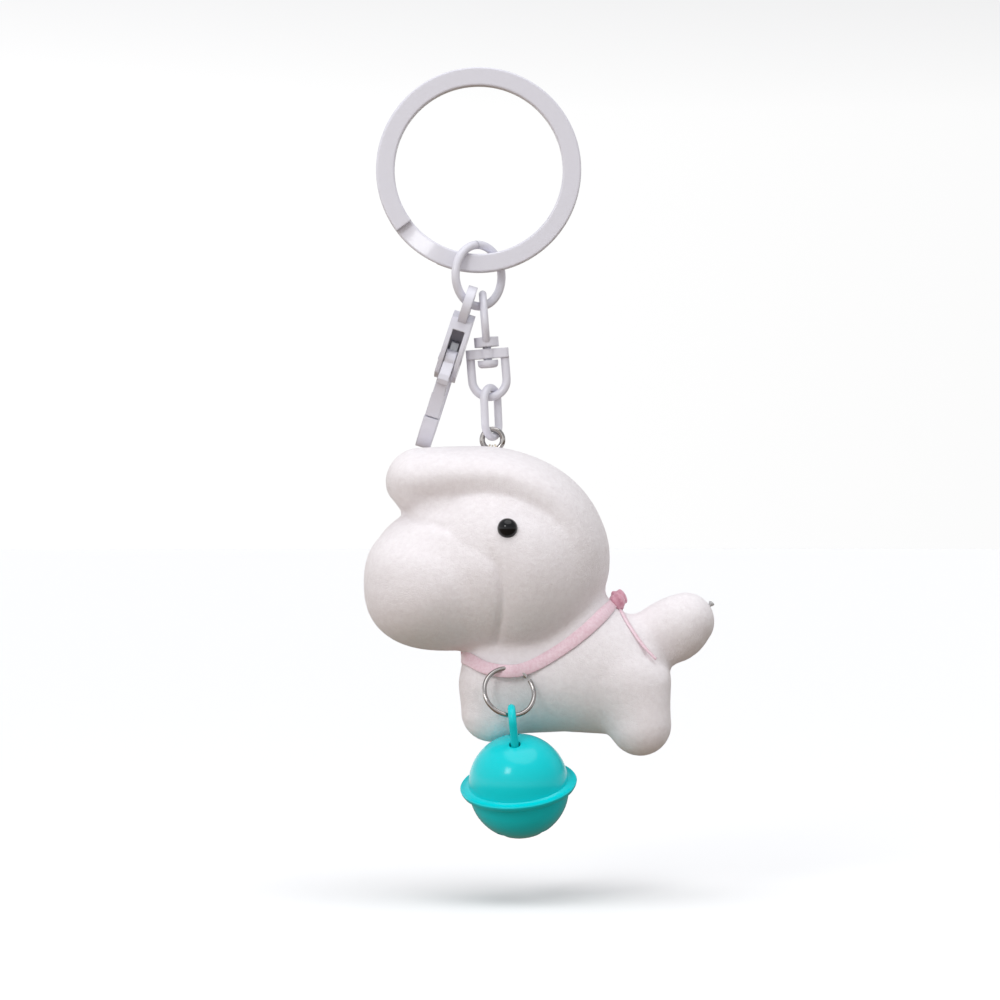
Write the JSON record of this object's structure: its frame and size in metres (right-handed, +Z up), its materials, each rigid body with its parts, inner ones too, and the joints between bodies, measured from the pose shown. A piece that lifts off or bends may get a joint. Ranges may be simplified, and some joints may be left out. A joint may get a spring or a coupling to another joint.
{
  "type": "plush key chain",
  "caption": "Stuffed plush pony key chain with a split ring, a spring clasp, a swivel, a chain link and a round bell on a neck ribbon.",
  "frame": {"origin": "centre of the split key ring, from which the whole object hangs", "axes": "+Z up, +X from the pony muzzle towards its tail, -Y the near side that carries the bell"},
  "size_m": [0.0512, 0.0318, 0.112],
  "materials": {
    "white_paint": "glossy white enamel on die-cast and wire parts",
    "spring_steel": "bare spring steel",
    "plated_steel": "bright plated steel wire",
    "cream_thread": "twisted sewing thread",
    "grey_thread": "twisted sewing thread",
    "plush": "short-pile white velvet plush",
    "filling": "polyester fibre filling",
    "eye_bead": "polished black bead",
    "pink_ribbon": "narrow woven satin ribbon",
    "turquoise_paint": "glossy turquoise enamel",
    "pellet_steel": "bare steel ball"
  },
  "bodies": {
    "key_ring": {"split_ring": "white_paint"},
    "connector": {"connector_ring": "white_paint"},
    "clasp": {"clasp_body": "white_paint", "clasp_pin": "white_paint", "clasp_spring": "spring_steel"},
    "lever": {"clasp_lever": "white_paint"},
    "swivel": {"swivel_eye": "white_paint", "swivel_rivet": "white_paint"},
    "stirrup": {"swivel_stirrup": "white_paint"},
    "link": {"oval_link": "white_paint"},
    "hanger": {"hang_ring": "plated_steel"},
    "pony": {"hang_thread": "cream_thread", "crest_skin": "plush", "crest_filling": "filling", "muzzle_skin": "plush", "muzzle_filling": "filling", "head_skin": "plush", "head_filling": "filling", "body_skin": "plush", "body_filling": "filling", "tail_skin": "plush", "tail_filling": "filling", "eye_near": "eye_bead", "eye_far": "eye_bead", "tail_knot": "grey_thread", "ribbon_knot": "pink_ribbon", "neck_ribbon": "pink_ribbon", "ribbon_streamers": "pink_ribbon"},
    "bell_hanger": {"bell_ring": "plated_steel"},
    "bell": {"bell_top": "turquoise_paint", "bell_bottom": "turquoise_paint", "bell_loop": "turquoise_paint"},
    "pellet": {"bell_pellet": "pellet_steel"}
  },
  "joints": [
    {"name": "connector_travel", "type": "hinge", "parent": "key_ring", "child": "connector", "pos_m": [0, 0, 0], "axis": [0, 1, 0], "continuous": true},
    {"name": "clasp_swing", "type": "hinge", "parent": "connector", "child": "clasp", "pos_m": [-0.0015, -0.00135, -0.01944], "axis": [0.951, 0, -0.3091], "range_deg": [0, 35]},
    {"name": "lever_open", "type": "hinge", "parent": "clasp", "child": "lever", "pos_m": [-0.00417, -0.00066, -0.02766], "axis": [0.951, 0, -0.3091], "range_deg": [0, 20], "stiffness_Nm_per_rad": 0.004, "springref_deg": -17.19, "deforming": ["clasp_spring"]},
    {"name": "swivel_swing", "type": "hinge", "parent": "connector", "child": "swivel", "pos_m": [0.00072, 0.00065, -0.01981], "axis": [0.9969, 0, 0.0785], "range_deg": [-20, 0]},
    {"name": "swivel_spin", "type": "hinge", "parent": "swivel", "child": "stirrup", "pos_m": [0.00072, 0.00065, -0.01981], "axis": [-0.0785, 0, 0.9969], "continuous": true},
    {"name": "link_swing", "type": "hinge", "parent": "stirrup", "child": "link", "pos_m": [0.00177, 0.00065, -0.03314], "axis": [0.9969, 0, 0.0785], "range_deg": [-25, 0]},
    {"name": "hanger_swing", "type": "hinge", "parent": "link", "child": "hanger", "pos_m": [0.00203, 0.00065, -0.03902], "axis": [0.5294, 0.848, 0.0231], "range_deg": [-20, 0]},
    {"name": "pony_swing", "type": "hinge", "parent": "hanger", "child": "pony", "pos_m": [0.00203, 0.00065, -0.04092], "axis": [1, 0, 0], "range_deg": [-20, 0]},
    {"name": "bell_ring_swing", "type": "hinge", "parent": "pony", "child": "bell_hanger", "pos_m": [0.0045, -0.0096, -0.073], "axis": [0.9659, 0.2588, 0], "range_deg": [-10, 0]},
    {"name": "bell_swing", "type": "hinge", "parent": "bell_hanger", "child": "bell", "pos_m": [0.00487, -0.0125, -0.0791], "axis": [0.9659, 0.2588, 0], "range_deg": [-25, 0]},
    {"name": "pellet_roll", "type": "hinge", "parent": "bell", "child": "pellet", "pos_m": [0.00583, -0.00873, -0.08946], "axis": [0, 1, 0], "range_deg": [-60, 60]}
  ]
}
